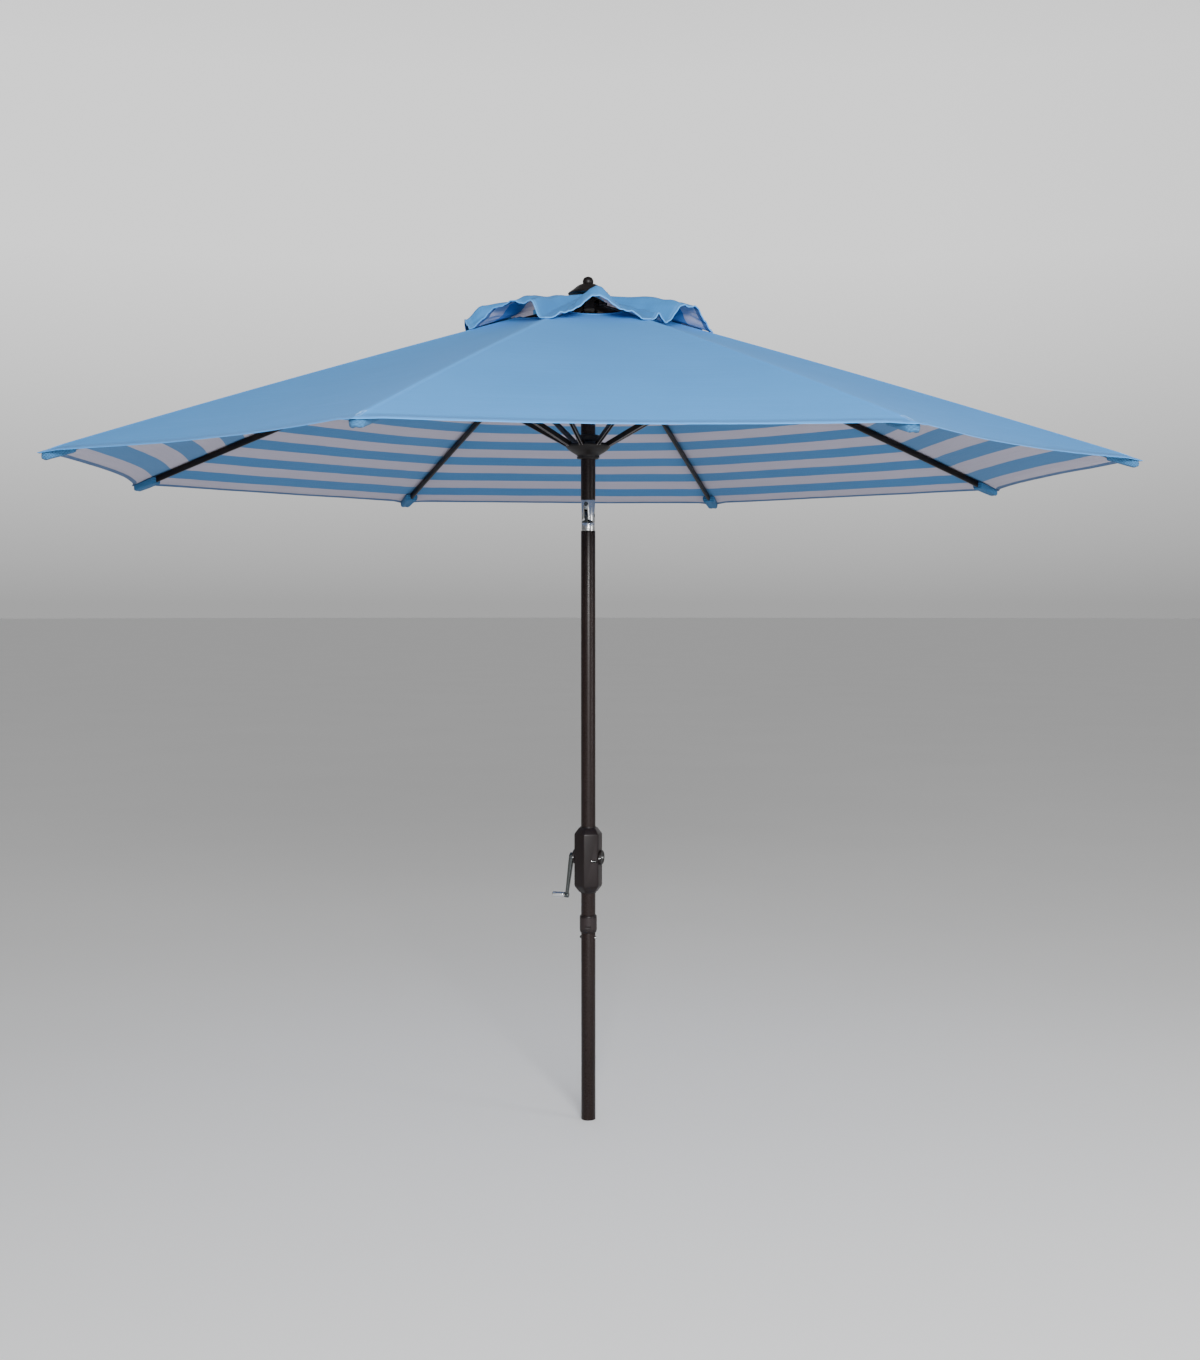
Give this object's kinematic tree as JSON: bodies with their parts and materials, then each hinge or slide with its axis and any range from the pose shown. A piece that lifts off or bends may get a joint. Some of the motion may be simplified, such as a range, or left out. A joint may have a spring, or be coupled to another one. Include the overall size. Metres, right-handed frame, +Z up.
{
  "type": "market umbrella",
  "caption": "Pole-mounted patio umbrella with a ribbed fabric canopy, loose vent cap, crank lift and push-button tilt joint.",
  "frame": {"origin": "centre of the pole's foot", "axes": "+Z up along the pole; a rib lies along each of +X and +Y; the crank handle is on the -X side and the tilt button faces -Y"},
  "size_m": [2.74, 2.74, 2.215],
  "materials": {
    "bronze": "dark bronze powder coat, satin",
    "rib_bronze": "dark bronze paint, satin",
    "moulded": "dark bronze moulded plastic, matte",
    "chrome": "bright chrome plate",
    "steel": "zinc-plated steel",
    "canopy": "woven polyester, light blue above, blue and white stripes below",
    "piping": "light blue woven binding"
  },
  "bodies": {
    "pole": {"lower_pole": "bronze", "foot_plug": "moulded", "pole_sleeve": "steel", "snap_spring": "steel", "pole_collar": "moulded", "middle_pole": "bronze", "housing_front": "bronze", "housing_back": "bronze", "bushing_left": "moulded", "bushing_right": "moulded", "bushing_pin_left": "chrome", "bushing_pin_right": "chrome", "pawl_pin": "chrome", "tilt_base": "chrome", "tilt_pin": "steel"},
    "snap_left": {"snap_button_left": "steel"},
    "snap_right": {"snap_button_right": "steel"},
    "crank": {"crank_axle": "steel", "crank_spool": "moulded", "crank_arm": "chrome"},
    "grip": {"crank_grip": "chrome"},
    "head": {"tilt_fork": "chrome", "tilt_spring": "steel", "upper_pole": "bronze", "pulley_axle": "steel", "top_hub": "moulded", "hub_ring": "steel", "finial": "moulded", "vent_cap": "canopy"},
    "button": {"tilt_button": "chrome"},
    "pulley": {"rope_pulley": "moulded"},
    "slider": {"runner": "moulded", "runner_screw_left": "steel", "runner_screw_right": "steel"},
    "rib_body_1": {"rib_1": "rib_bronze", "canopy_1": "canopy"},
    "strut_body_1": {"strut_1": "rib_bronze"},
    "rib_body_2": {"rib_2": "rib_bronze", "canopy_2": "canopy"},
    "strut_body_2": {"strut_2": "rib_bronze"},
    "rib_body_3": {"rib_3": "rib_bronze", "canopy_3": "canopy"},
    "strut_body_3": {"strut_3": "rib_bronze"},
    "rib_body_4": {"rib_4": "rib_bronze", "canopy_4": "canopy"},
    "strut_body_4": {"strut_4": "rib_bronze"},
    "rib_body_5": {"rib_5": "rib_bronze", "canopy_5": "canopy"},
    "strut_body_5": {"strut_5": "rib_bronze"},
    "rib_body_6": {"rib_6": "rib_bronze", "canopy_6": "canopy"},
    "strut_body_6": {"strut_6": "rib_bronze"},
    "rib_body_7": {"rib_7": "rib_bronze", "canopy_7": "canopy"},
    "strut_body_7": {"strut_7": "rib_bronze"},
    "rib_body_8": {"rib_8": "rib_bronze", "canopy_8": "canopy"},
    "strut_body_8": {"strut_8": "rib_bronze"}
  },
  "joints": [
    {"name": "runner_slide", "type": "slide", "parent": "head", "child": "slider", "axis": [0, 0, 1], "range_m": [-0.51806, 0], "deforming": ["canopy_1", "canopy_2", "canopy_3", "canopy_4", "canopy_5", "canopy_6", "canopy_7", "canopy_8", "vent_cap"]},
    {"name": "canopy_tilt", "type": "hinge", "parent": "pole", "child": "head", "pos_m": [0, 0, 1.596], "axis": [1, 0, 0], "range_deg": [0, 30]},
    {"name": "tilt_button_press", "type": "slide", "parent": "head", "child": "button", "axis": [0, 1, 0], "range_m": [0, 0.003], "stiffness_N_per_m": 500, "springref_m": -0.003, "deforming": ["tilt_spring"]},
    {"name": "snap_left_press", "type": "slide", "parent": "pole", "child": "snap_left", "axis": [1, 0, 0], "range_m": [0, 0.0035], "stiffness_N_per_m": 600, "springref_m": -0.003, "deforming": ["snap_spring"]},
    {"name": "snap_right_press", "type": "slide", "parent": "pole", "child": "snap_right", "axis": [-1, 0, 0], "range_m": [0, 0.0035], "stiffness_N_per_m": 600, "springref_m": -0.003},
    {"name": "grip_spin", "type": "hinge", "parent": "crank", "child": "grip", "pos_m": [-0.08, 0, 0.596], "axis": [1, 0, 0], "continuous": true},
    {"name": "crank_turn", "type": "hinge", "parent": "pole", "child": "crank", "pos_m": [0, 0, 0.7], "axis": [1, 0, 0], "range_deg": [0, 3241]},
    {"name": "pulley_turn", "type": "hinge", "parent": "head", "child": "pulley", "pos_m": [0, 0, 2.074], "axis": [1, 0, 0], "range_deg": [0, 3300]},
    {"name": "rib_1_fold", "type": "hinge", "parent": "head", "child": "rib_body_1", "pos_m": [0.034, 0, 2.13329], "axis": [0, 1, 0], "range_deg": [0, 68.93]},
    {"name": "strut_1_turn", "type": "hinge", "parent": "rib_body_1", "child": "strut_body_1", "pos_m": [0.43727, 0, 1.98849], "axis": [0, -1, 0], "range_deg": [0, 130.48]},
    {"name": "rib_2_fold", "type": "hinge", "parent": "head", "child": "rib_body_2", "pos_m": [0.02404, 0.02404, 2.13329], "axis": [-0.7071, 0.7071, 0], "range_deg": [0, 68.93]},
    {"name": "strut_2_turn", "type": "hinge", "parent": "rib_body_2", "child": "strut_body_2", "pos_m": [0.3092, 0.3092, 1.98849], "axis": [0.7071, -0.7071, 0], "range_deg": [0, 130.48]},
    {"name": "rib_3_fold", "type": "hinge", "parent": "head", "child": "rib_body_3", "pos_m": [0, 0.034, 2.13329], "axis": [-1, 0, 0], "range_deg": [0, 68.93]},
    {"name": "strut_3_turn", "type": "hinge", "parent": "rib_body_3", "child": "strut_body_3", "pos_m": [0, 0.43727, 1.98849], "axis": [1, 0, 0], "range_deg": [0, 130.48]},
    {"name": "rib_4_fold", "type": "hinge", "parent": "head", "child": "rib_body_4", "pos_m": [-0.02404, 0.02404, 2.13329], "axis": [-0.7071, -0.7071, 0], "range_deg": [0, 68.93]},
    {"name": "strut_4_turn", "type": "hinge", "parent": "rib_body_4", "child": "strut_body_4", "pos_m": [-0.3092, 0.3092, 1.98849], "axis": [0.7071, 0.7071, 0], "range_deg": [0, 130.48]},
    {"name": "rib_5_fold", "type": "hinge", "parent": "head", "child": "rib_body_5", "pos_m": [-0.034, 0, 2.13329], "axis": [0, -1, 0], "range_deg": [0, 68.93]},
    {"name": "strut_5_turn", "type": "hinge", "parent": "rib_body_5", "child": "strut_body_5", "pos_m": [-0.43727, 0, 1.98849], "axis": [0, 1, 0], "range_deg": [0, 130.48]},
    {"name": "rib_6_fold", "type": "hinge", "parent": "head", "child": "rib_body_6", "pos_m": [-0.02404, -0.02404, 2.13329], "axis": [0.7071, -0.7071, 0], "range_deg": [0, 68.93]},
    {"name": "strut_6_turn", "type": "hinge", "parent": "rib_body_6", "child": "strut_body_6", "pos_m": [-0.3092, -0.3092, 1.98849], "axis": [-0.7071, 0.7071, 0], "range_deg": [0, 130.48]},
    {"name": "rib_7_fold", "type": "hinge", "parent": "head", "child": "rib_body_7", "pos_m": [0, -0.034, 2.13329], "axis": [1, 0, 0], "range_deg": [0, 68.93]},
    {"name": "strut_7_turn", "type": "hinge", "parent": "rib_body_7", "child": "strut_body_7", "pos_m": [0, -0.43727, 1.98849], "axis": [-1, 0, 0], "range_deg": [0, 130.48]},
    {"name": "rib_8_fold", "type": "hinge", "parent": "head", "child": "rib_body_8", "pos_m": [0.02404, -0.02404, 2.13329], "axis": [0.7071, 0.7071, 0], "range_deg": [0, 68.93]},
    {"name": "strut_8_turn", "type": "hinge", "parent": "rib_body_8", "child": "strut_body_8", "pos_m": [0.3092, -0.3092, 1.98849], "axis": [-0.7071, -0.7071, 0], "range_deg": [0, 130.48]}
  ],
  "couplings": [
    {"joint": "crank_turn", "follows": "runner_slide", "rad_per_m": -109.15},
    {"joint": "pulley_turn", "follows": "runner_slide", "rad_per_m": -111.11},
    {"joint": "rib_1_fold", "follows": "runner_slide", "rad_per_m": -2.319},
    {"joint": "strut_1_turn", "follows": "runner_slide", "rad_per_m": -4.3924},
    {"joint": "rib_2_fold", "follows": "runner_slide", "rad_per_m": -2.319},
    {"joint": "strut_2_turn", "follows": "runner_slide", "rad_per_m": -4.3924},
    {"joint": "rib_3_fold", "follows": "runner_slide", "rad_per_m": -2.319},
    {"joint": "strut_3_turn", "follows": "runner_slide", "rad_per_m": -4.3924},
    {"joint": "rib_4_fold", "follows": "runner_slide", "rad_per_m": -2.319},
    {"joint": "strut_4_turn", "follows": "runner_slide", "rad_per_m": -4.3924},
    {"joint": "rib_5_fold", "follows": "runner_slide", "rad_per_m": -2.319},
    {"joint": "strut_5_turn", "follows": "runner_slide", "rad_per_m": -4.3924},
    {"joint": "rib_6_fold", "follows": "runner_slide", "rad_per_m": -2.319},
    {"joint": "strut_6_turn", "follows": "runner_slide", "rad_per_m": -4.3924},
    {"joint": "rib_7_fold", "follows": "runner_slide", "rad_per_m": -2.319},
    {"joint": "strut_7_turn", "follows": "runner_slide", "rad_per_m": -4.3924},
    {"joint": "rib_8_fold", "follows": "runner_slide", "rad_per_m": -2.319},
    {"joint": "strut_8_turn", "follows": "runner_slide", "rad_per_m": -4.3924}
  ]
}
